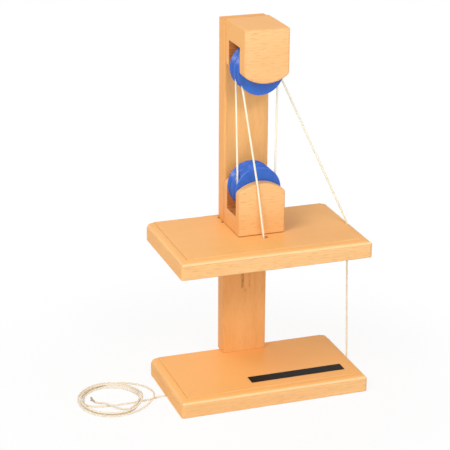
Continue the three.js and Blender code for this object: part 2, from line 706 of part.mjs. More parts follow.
// The rove cord, from the becket over and under the sheaves to the guide on the platform
function buildTackle() {
  const becket = becketRoute();
  const cheekEdge = becket[becket.length - 1];
  const leftTouch = touchAngle(cheekEdge, UPPER.axle, -1);
  const overFront = wrap(UPPER_FRONT_GROOVE, UPPER.axle, leftTouch + 2 * Math.PI, 0);
  const underLower = wrap(LOWER_FRONT_GROOVE, LOWER.axle, 0, -Math.PI);
  const guideTop = PLATFORM_BOTTOM + routedHeight(PLATFORM_GUIDE_INSET + CHANNEL_HALF_WIDTH);
  const guide = point(PLATFORM_GUIDE_X, GUIDE_Y, guideTop);
  const overRear = wrap(UPPER_REAR_GROOVE, UPPER.axle, Math.PI, touchAngle(guide, UPPER.axle, 1));

  const becketTurned = turnTowards(becket, overFront[0]);
  const knotCentre = point(BECKET_CORD_X, BECKET_Y, knotTop() - KNOT_HEIGHT / 2);
  addPiece("becket_knot", knot(knotCentre, UP), CREAM_CORD);
  addCord("cord_becket", becketTurned);
  addCord("cord_front_left", [becketTurned[becketTurned.length - 1], overFront[0]]);
  addCord("cord_over_front", overFront);
  addCord("cord_front_right", [overFront[WRAP_STEPS], underLower[0]]);
  addCord("cord_under_lower", underLower);
  addCord("cord_rear_left", [underLower[WRAP_STEPS], overRear[0]]);
  addCord("cord_over_rear", overRear);

  const guideFoot = point(PLATFORM_GUIDE_X, GUIDE_Y, PLATFORM_BOTTOM);
  const guideRoute = turnTowards([guideFoot, guide], overRear[WRAP_STEPS]);
  addCord("cord_haul_slant", [overRear[WRAP_STEPS], guideRoute[guideRoute.length - 1]]);
  addCord("cord_platform_guide", guideRoute);
  addCord("cord_haul_drop", [point(BASE_GUIDE_X, GUIDE_Y, BASE_TOP), guideFoot]);
}

// Down the notch in the base's edge, round the corner and out at the left under the base
function buildUnderBaseCord() {
  const bendX = BASE_GUIDE_X - CORD_BEND_RADIUS;
  const bendZ = CORD_REST_Z + CORD_BEND_RADIUS;
  const route = [point(BASE_GUIDE_X, GUIDE_Y, BASE_TOP)];
  for (let i = 0; i <= CURVE_STEPS; i += 1) {
    const angle = (-i * Math.PI) / (2 * CURVE_STEPS);
    const x = bendX + CORD_BEND_RADIUS * Math.cos(angle);
    route.push(point(x, GUIDE_Y, bendZ + CORD_BEND_RADIUS * Math.sin(angle)));
  }
  route.push(point(-HALF_WIDTH, GUIDE_Y, CORD_REST_Z));
  addCord("cord_under_base", route);
}

// Coil, wound clockwise: it spirals out on the table with one loose loop, climbs, and spirals in on top.
// Both layers rise together where they lie over the lead.
function coilPoint(turns) {
  const reversal = COIL_LOW_TURNS + COIL_CLIMB_TURNS / 2;
  const spiral = COIL_PITCH * (reversal - Math.abs(turns - reversal));
  const angle = COIL_START_ANGLE - 2 * Math.PI * turns;
  const fromLoose = (turns - COIL_LOOSE_MIDDLE_TURNS) / COIL_LOOSE_TURNS;
  const loose = Math.abs(fromLoose) < 0.5 ? Math.cos(Math.PI * fromLoose) ** 2 : 0;
  const oval = COIL_OVAL * Math.sin(angle) ** 2;
  const radius = COIL_INNER_RADIUS + spiral + oval + COIL_LOOSE_BULGE * loose;
  const climbed = THREE.MathUtils.smoothstep(turns, COIL_LOW_TURNS, COIL_LOW_TURNS + COIL_CLIMB_TURNS);
  const bridge = Math.max(Math.cos(angle - COIL_BRIDGE_ANGLE), 0) ** COIL_BRIDGE_SHARPNESS;
  return point(
    COIL_CENTRE_X + radius * Math.cos(angle),
    COIL_CENTRE_Y + radius * Math.sin(angle),
    CORD_REST_Z + COIL_PITCH * climbed + COIL_BRIDGE_RISE * bridge,
  );
}

// The point as far past the end of a leg as the leg is long
function extended(start, end) {
  return end.clone().sub(start).add(end);
}

// The ends of the coil run straight for one diameter
function coilRoute() {
  const steps = Math.round(COIL_TURNS * COIL_STEPS_A_LOOP);
  const route = Array.from({ length: steps + 1 }, (_, i) => coilPoint((COIL_TURNS * i) / steps));
  const nudge = 1 / COIL_STEPS_A_LOOP / COIL_STEPS_A_LOOP;
  const into = coilPoint(0).sub(coilPoint(nudge)).setLength(2 * CORD_RADIUS);
  const out = coilPoint(COIL_TURNS).sub(coilPoint(COIL_TURNS - nudge)).setLength(2 * CORD_RADIUS);
  return [route[0].clone().add(into), ...route, route[steps].clone().add(out)];
}

// Points of the free stretches: the lead runs under the coil, and the free end lies over the lead
const LEAD_POINTS = [
  [-106, -6.1, 1.3],
  [-110.5, -6.9, 1.3],
  [-116, -8.2, 1.3],
  [-123, -9.7, 1.3],
  [-131, -10.5, 1.3],
  [-140, -10.9, 1.3],
  [-150, -11.2, 1.3],
  [-158, -11.2, 1.3],
  [-166, -10.6, 1.3],
  [-173, -9.2, 1.3],
  [-179.3, -7.3, 1.3],
  [-184.2, -4.6, 1.3],
];
const FREE_END_POINTS = [
  [-152.5, -28.2, 4.1],
  [-156.8, -26, 4.1],
  [-160.6, -21.8, 4.1],
  [-164, -16.5, 4.1],
  [-167.2, -10.8, 4.1],
  [-170.2, -6.2, 3.4],
  [-173, -2.3, 2],
  [-175.4, 0.8, 1.4],
];
const END_KNOT = [-178.4, 4.6];

function smoothed(points) {
  const curve = new THREE.CatmullRomCurve3(points, false, "centripetal");
  const steps = Math.round(curve.getLength() / ROUTE_STEP);
  return curve.getSpacedPoints(steps);
}

// Least distance of a route to itself, past its own neighbouring stretch
function leastDistance(route, skip) {
  const dense = [];
  for (let i = 0; i < (route.length - 1) * GAP_STEPS_A_LEG; i += 1) {
    const leg = Math.floor(i / GAP_STEPS_A_LEG);
    const share = i / GAP_STEPS_A_LEG - leg;
    dense.push(route[leg].clone().lerp(route[leg + 1], share));
  }
  let least = Infinity;
  for (let i = 0; i < dense.length; i += 1) {
    for (let j = i + GAP_STEPS_A_LEG * skip; j < dense.length; j += 1) {
      least = Math.min(least, dense[i].distanceTo(dense[j]));
    }
  }
  return least;
}

function buildFreeCord() {
  const coil = coilRoute();
  const last = coil.length - 1;
  addCord("cord_coil", coil, COIL_SIDES);

  const exit = point(-HALF_WIDTH, GUIDE_Y, CORD_REST_Z);
  const beforeCoil = extended(coil[1], coil[0]);
  const lead = [exit, ...LEAD_POINTS.map((each) => point(...each)), beforeCoil];
  addCord("cord_lead", [...smoothed(lead), coil[0]]);

  const afterCoil = extended(coil[last - 1], coil[last]);
  const freeEnd = FREE_END_POINTS.map((each) => point(...each));
  const knotCentre = point(...END_KNOT, CORD_REST_Z - CORD_RADIUS + KNOT_RADIUS);
  const along = knotCentre.clone().sub(freeEnd[freeEnd.length - 1]).setZ(0).setLength(KNOT_HEIGHT / 2);
  const tip = knotCentre.clone().sub(along).setZ(CORD_REST_Z);
  addCord("cord_free_end", [coil[last], ...smoothed([afterCoil, ...freeEnd, tip])]);
  addPiece("cord_end_knot", knot(knotCentre, along), CREAM_CORD);

  const oneLoop = Math.round(COIL_STEPS_A_LOOP / 2);
  const gap = leastDistance(coil, oneLoop) - 2 * CORD_RADIUS;
  console.log(`least gap of the coil to itself: ${gap.toFixed(2)} mm`);
}

buildBase();
buildPost();
buildUpperBlock();
buildPlatform();
buildLowerBlock();
buildTackle();
buildUnderBaseCord();
buildFreeCord();

export default assembly;
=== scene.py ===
import math

import bmesh
import bpy
import numpy as np
from mathutils import Matrix, Quaternion, Vector


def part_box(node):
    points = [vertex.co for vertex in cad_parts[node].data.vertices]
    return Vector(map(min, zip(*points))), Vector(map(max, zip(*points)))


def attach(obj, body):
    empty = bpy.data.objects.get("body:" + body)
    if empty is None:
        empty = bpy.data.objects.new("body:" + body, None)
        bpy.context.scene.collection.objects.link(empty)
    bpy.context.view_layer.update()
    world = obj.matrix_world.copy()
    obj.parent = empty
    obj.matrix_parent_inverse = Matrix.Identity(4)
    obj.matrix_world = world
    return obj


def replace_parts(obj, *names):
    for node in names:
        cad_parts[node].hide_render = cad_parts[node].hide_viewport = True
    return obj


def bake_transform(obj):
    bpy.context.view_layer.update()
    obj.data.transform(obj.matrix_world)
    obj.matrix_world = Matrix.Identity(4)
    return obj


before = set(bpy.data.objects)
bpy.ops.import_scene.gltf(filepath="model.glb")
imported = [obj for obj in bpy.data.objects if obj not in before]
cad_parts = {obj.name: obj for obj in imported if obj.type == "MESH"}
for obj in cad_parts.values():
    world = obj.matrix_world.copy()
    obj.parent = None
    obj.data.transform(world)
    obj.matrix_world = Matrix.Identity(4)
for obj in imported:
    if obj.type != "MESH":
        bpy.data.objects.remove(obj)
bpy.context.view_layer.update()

# Block and tackle on a post, dressed for its picture. Routes and sizes are in millimetres, as in the source
# of the solids, and are turned into metres where a mesh is made.
MM = 0.001
X, Y, Z = 0, 1, 2

# Boards and post
BASE_LEFT = -102.5
BASE_TOP = 19
PLATFORM_BOTTOM = 151
PLATFORM_TOP = 170
POST_FRONT = 38

# Slots of the blocks: the front and back face of each, and the height at which it ends in the wood
UPPER_SLOT = (-4, 28.4)
UPPER_SLOT_ROOF = 366.7
LOWER_SLOT = (0.2, 27.4)
LOWER_SLOT_FLOOR = 188.3

# Axles, and the sheaves on them. A sheave's half section is the same on both sides of its groove.
UPPER_AXLE = 340.5
LOWER_AXLE = 214.5
UPPER_FRONT_GROOVE = 2.9
UPPER_REAR_GROOVE = 16.3
LOWER_FRONT_GROOVE = 7.1
LOWER_REAR_GROOVE = 20.5
SHEAVE_BORE = 3.3
SHEAVE_RADIUS = 24.5
SHEAVE_HALF_WIDTH = 6.5
GROOVE_MOUTH = 5.2
GROOVE_FLOOR = 18.8
GROOVE_FLOOR_HALF = 1.1

# Cord: its radius, the height of its middle on the table, and the radius of its middle line round a sheave
CORD_RADIUS = 1
CORD_REST = 1.3
PITCH_RADIUS = 20.1
CORD_SPACING = 1.2

# Cord's way up: its hole in the platform, the heights where it starts and bends, and the edge of the cheek
BECKET = (-0.7, -18.2)
BECKET_START = 156
BECKET_BEND = 171
BECKET_BEND_RADIUS = 2.2
CHEEK_EDGE = Vector((-5.9, -12.1, 225.03))

# Cord's way down through the notches at the right edges, and its bends at the top one and under the base
GUIDE_Y = -6
GUIDE_TOP = 169.03
PLATFORM_GUIDE_X = 97.5
PLATFORM_GUIDE_BEND = 2
BASE_GUIDE_X = 101.4
BASE_GUIDE_BEND = 4

# Length that the cord keeps on past the cheek's edge and the platform's notch before its next stretch
PAST_EDGE = 3

# Runs of the whole cord over which it turns dull from handling, and then brown at its end and its end knot
HANDLED_FROM = (1150, 1230)
BROWN_END_FROM = (2100, 2112)

# Knots: the width of both, how far the cord's middle stays inside them, and the spacing of its points
KNOT_WIDTH = 6.2
KNOT_INSET = 0.9
KNOT_SPACING = 0.4

# Each knot's height along its cord, and the radius of the cord pulled tight in it
BECKET_KNOT_HEIGHT = 4.8
BECKET_KNOT_TOP = 156.8
BECKET_KNOT_CORD = 0.92
END_KNOT_HEIGHT = 6.6
END_KNOT_TURN = 0.6
END_KNOT_CORD = 0.95

# Brown marks on the post: the middle, half width, foot, head and strength of each
POST_STREAKS = (
    (-2.5, 2.1, 92, 112, 0.6),
    (5.2, 1.5, 92, 112, 0.3),
    (0.4, 1.8, 87.5, 91, 0.3),
)

# Painted shade spots at the left corners of the platform's notch, where the post stands in it
NOTCH_SHADE_SPOTS = ((-25.8, 37.5), (-25.6, 51))

# Angles in degrees past which an edge is eased, stays crisp on smooth pieces, and stays crisp on screws
EASED_PAST = 32
CRISP_PAST = 40
SCREW_CRISP_PAST = 30

# Width taken off the edges of the bare strip, and the turn of each screw from kind to kind and side to side
STRIP_EASED = 0.12
TURN_BY_KIND = 0.7
TURN_BY_SIDE = 0.9


# Materials


def paint(red, green, blue):
    """A colour as it looks on a screen, 0 to 255, turned into the light that it gives back."""
    def light(value):
        share = value / 255
        return share / 12.92 if share <= 0.04045 else ((share + 0.055) / 1.055) ** 2.4
    return (light(red), light(green), light(blue), 1)


class Wire:
    """A number on its way through a finish. An expression on wires adds the Math nodes that work it out."""

    def __init__(self, finish, socket):
        self.finish = finish
        self.socket = socket

    def worked(self, operation, *values):
        return self.finish.node("ShaderNodeMath", {"operation": operation}, dict(enumerate(values)))

    def __add__(self, other):
        return self.worked("ADD", self, other)

    def __sub__(self, other):
        return self.worked("SUBTRACT", self, other)

    def __rsub__(self, other):
        return self.worked("SUBTRACT", other, self)

    def __mul__(self, other):
        return self.worked("MULTIPLY", self, other)

    def __pow__(self, other):
        return self.worked("POWER", self, other)

    def __abs__(self):
        return self.worked("ABSOLUTE", self)

    __radd__ = __add__
    __rmul__ = __mul__

    def sine(self):
        return self.worked("SINE", self)

    def larger(self, other):
        return self.worked("MAXIMUM", self, other)

    def angle_over(self, other):
        return self.worked("ARCTAN2", self, other)

    def rising(self, low, high):
        """0 below low, 1 above high and smooth between them; it falls where low is the higher one."""
        if low > high:
            return 1 - self.rising(high, low)
        settings = {"interpolation_type": "SMOOTHSTEP"}
        inputs = {"Value": self, "From Min": low, "From Max": high}
        return self.finish.node("ShaderNodeMapRange", settings, inputs)


# Places of the share and the two colours among a Mix node's inputs, and of the colour among its outputs
MIX_SHARE = 0
MIX_FIRST = 6
MIX_SECOND = 7
MIX_COLOUR = 2


class Finish:
    """The nodes of a material or world. One method makes any node from its type, settings and inputs."""

    def __init__(self, owner):
        owner.use_nodes = True
        self.owner = owner
        self.tree = owner.node_tree
        self.tree.nodes.clear()

    def node(self, kind, settings=None, inputs=None, output=0):
        made = self.tree.nodes.new(kind)
        for name, value in (settings or {}).items():
            setattr(made, name, value)
        for name, value in (inputs or {}).items():
            if isinstance(value, Wire):
                self.tree.links.new(value.socket, made.inputs[name])
            else:
                made.inputs[name].default_value = value
        return Wire(self, made.outputs[output])

    def place(self, size=(1, 1, 1), shift=(0, 0, 0)):
        """The place on the piece in millimetres, divided by the size of a pattern along each axis."""
        here = self.node("ShaderNodeTexCoord", output="Object")
        share = [1 / (MM * each) for each in size]
        grown = self.node("ShaderNodeVectorMath", {"operation": "MULTIPLY"}, {0: here, 1: share})
        return self.node("ShaderNodeVectorMath", {"operation": "ADD"}, {0: grown, 1: shift})

    def split(self, vector):
        """The three numbers of a vector."""
        parted = self.node("ShaderNodeSeparateXYZ", inputs={0: vector})
        return [Wire(self, socket) for socket in parted.socket.node.outputs]

    def facing(self):
        """The way that the surface faces, in the frame of the piece, as three numbers."""
        return self.split(self.node("ShaderNodeTexCoord", output="Normal"))

    def cloudy(self, size, shift=(0, 0, 0), detail=2, roughness=0.5):
        """Soft noise from 0 to 1."""
        inputs = {"Vector": self.place(size, shift), "Scale": 1, "Detail": detail, "Roughness": roughness}
        return self.node("ShaderNodeTexNoise", inputs=inputs)

    def speckled(self, size, shift):
        """Distance to the nearest of many scattered points, in shares of the size."""
        inputs = {"Vector": self.place(size, shift), "Scale": 1, "Randomness": 1}
        return self.node("ShaderNodeTexVoronoi", {"feature": "F1"}, inputs)

    def mixed(self, share, first, second):
        """A colour between two."""
        inputs = {MIX_SHARE: share, MIX_FIRST: first, MIX_SECOND: second}
        return self.node("ShaderNodeMix", {"data_type": "RGBA"}, inputs, MIX_COLOUR)

    def raised(self, height, depth, strength):
        """The surface's slope for a height from 0 to 1, whose full height is depth millimetres."""
        inputs = {"Height": height, "Distance": depth * MM, "Strength": strength}
        return self.node("ShaderNodeBump", inputs=inputs)

    def surface(self, **sockets):
        """The shader at the end, from the names of its sockets with _ for a space."""
        named = {name.replace("_", " "): value for name, value in sockets.items()}
        return self.ends(self.node("ShaderNodeBsdfPrincipled", inputs=named))

    def ends(self, shader, kind="Material"):
        """The shader joined to the output. It gives back the material or world."""
        out = self.tree.nodes.new(f"ShaderNodeOutput{kind}")
        self.tree.links.new(shader.socket, out.inputs["Surface"])
        return self.owner


def finish(name):
    """The nodes of a new material."""
    return Finish(bpy.data.materials.new(name))


def beech(name, grain, shift, hue, top_and_side_shade, flecked, marks):
    """Lacquered beech, its grain along one axis: broad tone, growth lines, fibres and short dark flecks."""
    wood = finish(name)
    pith_away = (23, 71)
    line_density = 2.1
    line_wander = 11

    def sized(along, across):
        """The size of a pattern in millimetres, along and across the grain."""
        return [along if axis == grain else across for axis in range(3)]

    tone_cloud = wood.cloudy(sized(170, 30), shift, detail=3)
    fibres = wood.cloudy(sized(26, 0.7), shift, detail=3, roughness=0.6)
    flecks = wood.cloudy(sized(11, 0.95), shift, detail=1)
    wander = wood.cloudy(sized(90, 14), shift)
    here = wood.split(wood.place())
    first, second = (here[axis] for axis in range(3) if axis != grain)
    pith = ((first + pith_away[0]) ** 2 + (second + pith_away[1]) ** 2) ** 0.5
    lines = (pith * line_density + wander * line_wander).sine() * 0.5 + 0.5

    facing = wood.facing()
    end_grain = abs(facing[grain]).rising(0.6, 0.9)
    top_or_side = facing[Z].larger(abs(facing[X])).rising(0.7, 0.95)
    fleck = flecks.rising(0.54, 0.7) * (1 - end_grain)
    pores = wood.speckled(sized(0.5, 0.5), shift).rising(0.3, 0.1) * end_grain

    red, green, blue = hue
    tone = tone_cloud.rising(0.3, 0.7)
    colour = wood.mixed(tone, paint(*hue), paint(red * 0.975, green * 0.94, blue * 0.89))
    colour = wood.mixed(lines * (0.09 - 0.04 * end_grain), colour, paint(222, 152, 84))
    colour = wood.mixed(fibres.rising(0.35, 0.75) * 0.14, colour, paint(222, 154, 88))
    colour = wood.mixed(fleck * flecked, colour, paint(214, 146, 88))
    colour = wood.mixed(end_grain * 0.35, colour, paint(250, 180, 118))
    # Painted shade: tops and sides are mixed darker and warmer than the fronts, as if the lamps lit them
    # less.
    colour = wood.mixed(top_or_side * top_and_side_shade, colour, paint(red * 0.995, green * 0.91, blue * 0.75))
    colour = wood.mixed(pores * 0.3, colour, paint(160, 98, 52))
    if marks:
        colour = marks(wood, here, colour)
    height = fibres * 0.7 + lines * 0.1 - fleck * 0.4 - pores * 0.5
    return wood.surface(
        Base_Color=colour,
        Roughness=0.46 + fibres * 0.12 + end_grain * 0.1,
        Normal=wood.raised(height, 0.05, 0.6),
        IOR=1.5,
        Specular_IOR_Level=0.28,
        Coat_Weight=0.1,
        Coat_Roughness=0.24,
    )


def post_streaks(wood, here, colour):
    """Soft brown marks on the front of the post: two upright streaks and a faint spot below them."""
    patches_and_painted_highlight = wood.cloudy((1.6, 1.6, 7)).rising(0.2, 0.55)
    front = here[Y].rising(POST_FRONT + 2, POST_FRONT + 1)
    for middle, half_width, low, high, share in POST_STREAKS:
        across = abs(here[X] - middle).rising(half_width, half_width * 0.3)
        along = here[Z].rising(low - 1, low + 2) * here[Z].rising(high + 2, high - 2)
        colour = wood.mixed(across * along * patches_and_painted_highlight * front * share, colour, paint(132, 84, 44))
    return colour


def slot_shade_and_saw_marks(wood, here, colour, faces, depth):
    """Painted red-brown shade and saw marks inside a block's slot, between its two faces where depth is 1."""
    front, back = faces
    between = here[Y].rising(front - 0.3, front - 0.1) * here[Y].rising(back + 0.3, back + 0.1)
    saw = wood.cloudy((6, 6, 0.8))
    # Painted shade: the inside of the slot is mixed darker and redder, as a recess in shade.
    sawn_and_shaded = wood.mixed(saw.rising(0.35, 0.65), paint(228, 146, 80), paint(208, 120, 60))
    return wood.mixed(between * depth, colour, sawn_and_shaded)


def upper_block_marks(wood, here, colour):
    """The painted shade in the sawn slot of the upper block."""
    below_roof = here[Z].rising(UPPER_SLOT_ROOF + 0.1, UPPER_SLOT_ROOF - 0.1)
    return slot_shade_and_saw_marks(wood, here, colour, UPPER_SLOT, below_roof)


def lower_block_marks(wood, here, colour):
    """The painted shade in the sawn slot of the lower block, and a painted contact shadow round its foot."""
    # Painted contact shadow: a dark line round the foot, where the block stands on the platform.
    foot = here[Z].rising(PLATFORM_TOP + 1.2, PLATFORM_TOP + 0.4)
    colour = wood.mixed(foot * 0.8, colour, paint(142, 76, 30))
    above_floor = here[Z].rising(LOWER_SLOT_FLOOR - 0.1, LOWER_SLOT_FLOOR + 0.1)
    return slot_shade_and_saw_marks(wood, here, colour, LOWER_SLOT, above_floor)


def routed_edge(wood, here, colour, top):
    """The routed edge under a board's top: painted shade in its small step, a painted highlight on the round
    below.
    """
    facing = wood.facing()
    upward = abs(facing[Z])
    in_step = here[Z].rising(top - 1.1, top - 0.8) * here[Z].rising(top + 0.1, top - 0.1)
    step = in_step * upward.rising(0.75, 0.5)
    round_part = here[Z].rising(top - 5, top - 4.2) * here[Z].rising(top - 0.8, top - 1.1)
    # Painted highlight: the round is mixed pale where it faces up and out, most on the front.
    patches_and_painted_highlight = round_part * upward.rising(0.12, 0.4) * upward.rising(0.9, 0.65)
    colour = wood.mixed(patches_and_painted_highlight * (0.2 + facing[Y].rising(-0.2, -0.5) * 0.35), colour, paint(255, 230, 182))
    # Painted shade: the small step is mixed dark brown, most where it faces sideways.
    return wood.mixed(step * (0.2 + abs(facing[X]) * 0.6), colour, paint(184, 112, 56))


def base_marks(wood, here, colour):
    """The base board's routed edge, with its painted shade and painted highlight."""
    return routed_edge(wood, here, colour, BASE_TOP)


def platform_marks(wood, here, colour):
    """The platform's routed edge, and painted shade spots at the left corners of its notch."""
    for x, y in NOTCH_SHADE_SPOTS:
        off = ((here[X] - x) ** 2 + (here[Y] - y) ** 2) ** 0.5
        # Painted shade where the post stands in the corner of the notch.
        gap_shade = off.rising(2.2, 1.0) * here[Z].rising(PLATFORM_TOP - 2, PLATFORM_TOP - 1)
        colour = wood.mixed(gap_shade * 0.85, colour, paint(96, 52, 20))
    return routed_edge(wood, here, colour, PLATFORM_TOP)


def moulded_blue(name):
    """Blue moulded plastic: fine mould grain, faint rings, and a groove that the cord has polished."""
    plastic = finish(name)
    ring_density = 5.2
    ring_wander = 2
    here = plastic.split(plastic.place())
    radius = (here[X] ** 2 + here[Z] ** 2) ** 0.5
    grain = plastic.cloudy((0.5, 0.5, 0.5))
    cloud = plastic.cloudy((9, 9, 9))
    rings = (radius * ring_density + cloud * ring_wander).sine() * 0.5 + 0.5
    in_groove = radius.rising(GROOVE_FLOOR + 3.6, GROOVE_FLOOR + 0.8)
    groove = in_groove * abs(here[Y]).rising(3.4, 1.4)
    rim = radius.rising(SHEAVE_RADIUS - 0.5, SHEAVE_RADIUS - 0.05)
    colour = plastic.mixed(cloud.rising(0.3, 0.7), paint(22, 102, 212), paint(16, 92, 200))
    colour = plastic.mixed(groove * 0.15, colour, paint(80, 130, 206))
    colour = plastic.mixed(rim * grain.rising(0.45, 0.7) * 0.5, colour, paint(108, 152, 222))
    return plastic.surface(
        Base_Color=colour,
        Roughness=0.2 + cloud * 0.08 - groove * 0.04,
        Normal=plastic.raised(grain * 0.6 + rings * 0.4, 0.03, 0.5),
        IOR=1.5,
        Specular_IOR_Level=0.7,
    )


def braided_cord(name):
    """Cream braided cord: crossing strands from the way round and the run that its mesh carries."""
    cord = finish(name)
    strands, slant = 4, 2.6
    yarns, twist = 16, 9

    def carried(attribute):
        return cord.node("ShaderNodeAttribute", {"attribute_name": attribute}, output="Fac")

    turn = carried("round_sine").angle_over(carried("round_cosine"))
    run = carried("run")
    right_hand = (turn * strands + run * slant).sine()
    left_hand = (turn * strands - run * slant).sine()
    braid = right_hand.larger(left_hand) * 0.5 + 0.5
    yarn = ((turn * yarns + run * twist).sine() * 0.5 + 0.5) * 0.25
    soiling = cord.cloudy((14, 14, 14))
    fuzz = cord.cloudy((0.25, 0.25, 0.25), detail=1)
    colour = cord.mixed(braid.rising(0.95, 0.55), paint(255, 251, 231), paint(253, 244, 218))
    colour = cord.mixed(soiling.rising(0.5, 0.8) * 0.2, colour, paint(240, 226, 198))
    colour = cord.mixed(run.rising(*HANDLED_FROM) * 0.5, colour, paint(228, 208, 188))
    colour = cord.mixed(run.rising(*BROWN_END_FROM) * 0.6, colour, paint(142, 112, 90))
    return cord.surface(
        Base_Color=colour,
        Roughness=0.82 + fuzz * 0.12,
        Normal=cord.raised(braid + yarn + fuzz * 0.2, 0.12, 0.5),
        Sheen_Weight=0.15,
        Sheen_Roughness=0.5,
    )


def plated_steel(name):
    """Bright zinc plate on steel, with turning marks and a faint uneven bloom."""
    steel = finish(name)
    bloom = steel.cloudy((3, 3, 3), detail=3)
    marks = steel.cloudy((4, 0.15, 4))
    colour = steel.mixed(bloom.rising(0.35, 0.7), paint(206, 208, 210), paint(176, 176, 172))
    return steel.surface(
        Base_Color=colour,
        Metallic=1,
        Roughness=0.28 + bloom * 0.2,
        Normal=steel.raised(marks, 0.02, 0.4),
    )


def black_plate(name):
    """Bare black plastic strip: a satin face with fine brushing, rubbed paler along its edges."""
    plate = finish(name)
    brushing = plate.cloudy((18, 0.22, 1))
    blotch = plate.cloudy((7, 7, 7), detail=3)
    low, high = (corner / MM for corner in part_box("name_strip"))
    here = plate.split(plate.place())
    middle, half = (low + high) / 2, (high - low) / 2
    edge_y = abs(here[Y] - middle.y).rising(half.y - 0.9, half.y - 0.1)
    edge_x = abs(here[X] - middle.x).rising(half.x - 0.9, half.x - 0.1)
    rubbed = edge_y.larger(edge_x) * blotch.rising(0.4, 0.6)
    colour = plate.mixed(blotch.rising(0.3, 0.7), paint(20, 17, 17), paint(27, 23, 23))
    colour = plate.mixed(rubbed * 0.5, colour, paint(78, 70, 64))
    return plate.surface(
        Base_Color=colour,
        Roughness=0.4 + brushing * 0.15 + rubbed * 0.15,
        Normal=plate.raised(brushing, 0.02, 0.5),
        Specular_IOR_Level=0.08,
    )


# Meshes


def new_piece(name, mesh, material):
    """A piece of the object from a finished mesh."""
    piece = bpy.data.objects.new(name, mesh)
    bpy.context.scene.collection.objects.link(piece)
    mesh.materials.clear()
    mesh.materials.append(material)
    return piece


def mesh_of(name, points, faces, smooth=True):
    """A mesh from points in millimetres."""
    mesh = bpy.data.meshes.new(name)
    mesh.from_pydata([Vector(point) * MM for point in points], [], faces)
    mesh.polygons.foreach_set("use_smooth", [smooth] * len(faces))
    mesh.update()
    return mesh


def shaded(piece, angle):
    """Smooth shading that stays crisp past an angle and flat on the large faces."""
    mesh = piece.data
    mesh.polygons.foreach_set("use_smooth", [True] * len(mesh.polygons))
    mesh.set_sharp_from_angle(angle=math.radians(angle))
    keep = piece.modifiers.new("large faces stay flat", "WEIGHTED_NORMAL")
    keep.keep_sharp = True
    keep.weight = 60
    return piece


def eased(node, body, material, name, width):
    """A copy of a CAD piece with its sharp edges taken off by width millimetres, as sandpaper does."""
    shape = bmesh.new()
    weld, flat = 2e-6, math.radians(1)
    shape.from_mesh(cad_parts[node].data)
    bmesh.ops.remove_doubles(shape, verts=shape.verts, dist=weld)
    bmesh.ops.dissolve_limit(shape, angle_limit=flat, verts=shape.verts, edges=shape.edges)
    sharp = [
        edge
        for edge in shape.edges
        if len(edge.link_faces) == 2 and edge.calc_face_angle() > math.radians(EASED_PAST)
    ]
    bmesh.ops.bevel(
        shape,
        geom=sharp,
        offset=width * MM,
        segments=2,
        profile=0.5,
        affect="EDGES",
        clamp_overlap=False,
    )
    bmesh.ops.triangulate(shape, faces=[face for face in shape.faces if len(face.verts) > 4])
    mesh = bpy.data.meshes.new(name)
    shape.to_mesh(mesh)
    shape.free()
    piece = shaded(new_piece(name, mesh, material), CRISP_PAST)
    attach(piece, body)
    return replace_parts(piece, node)


def turned_piece(name, profile, sides, material):
    """A closed profile of (radius, along) points turned round Y, about its own origin."""
    points, faces = [], []
    for step in range(sides):
        angle = 2 * math.pi * step / sides
        points += [(r * math.cos(angle), along, r * math.sin(angle)) for r, along in profile]
    count = len(profile)
    for step in range(sides):
        here, there = step * count, (step + 1) % sides * count
        for i in range(count):
            j = (i + 1) % count
            faces.append((here + i, there + i, there + j, here + j))
    return shaded(new_piece(name, mesh_of(name, points, faces), material), CRISP_PAST)


def rounded_profile(sharp):
    """A closed profile from (radius, along, rounding) corners, each corner turned into a short arc."""
    steps = 4
    profile = []
    count = len(sharp)
    for i, (radius, along, rounding) in enumerate(sharp):
        here = Vector((radius, along))
        before = Vector(sharp[i - 1][:2]) - here
        after = Vector(sharp[(i + 1) % count][:2]) - here
        start = here + before.normalized() * rounding
        end = here + after.normalized() * rounding
        for step in range(steps + 1):
            t = step / steps
            spot = start * (1 - t) ** 2 + here * 2 * t * (1 - t) + end * t * t
            profile.append((spot.x, spot.y))
    return profile


# Cords


def through(points, spacing):
    """Evenly spaced points of a smooth curve through the given ones, ends included."""
    known = [Vector(point) for point in points]
    known = [known[0] * 2 - known[1], *known, known[-1] * 2 - known[-2]]
    fine = []
    for p0, p1, p2, p3 in zip(known, known[1:], known[2:], known[3:]):
        d0, d1, d2 = (max((b - a).length, 1e-6) ** 0.5 for a, b in ((p0, p1), (p1, p2), (p2, p3)))
        slope1 = ((p1 - p0) / d0 - (p2 - p0) / (d0 + d1) + (p2 - p1) / d1) * d1
        slope2 = ((p2 - p1) / d1 - (p3 - p1) / (d1 + d2) + (p3 - p2) / d2) * d1
        steps = max(4, math.ceil((p2 - p1).length / spacing * 4))
        for step in range(steps):
            t = step / steps
            fine.append(
                p1 * (2 * t**3 - 3 * t**2 + 1)
                + slope1 * (t**3 - 2 * t**2 + t)
                + p2 * (3 * t**2 - 2 * t**3)
                + slope2 * (t**3 - t**2)
            )
    fine.append(known[-2])
    return spaced(fine, spacing)


def spaced(points, spacing):
    """The points of a route a set distance apart, ends included."""
    route = np.array([list(point) for point in points], float)
    run = np.r_[0, np.cumsum(np.linalg.norm(np.diff(route, axis=0), axis=1))]
    wanted = np.linspace(0, run[-1], max(2, round(run[-1] / spacing) + 1))
    return [Vector([float(np.interp(at, run, route[:, axis])) for axis in range(3)]) for at in wanted]


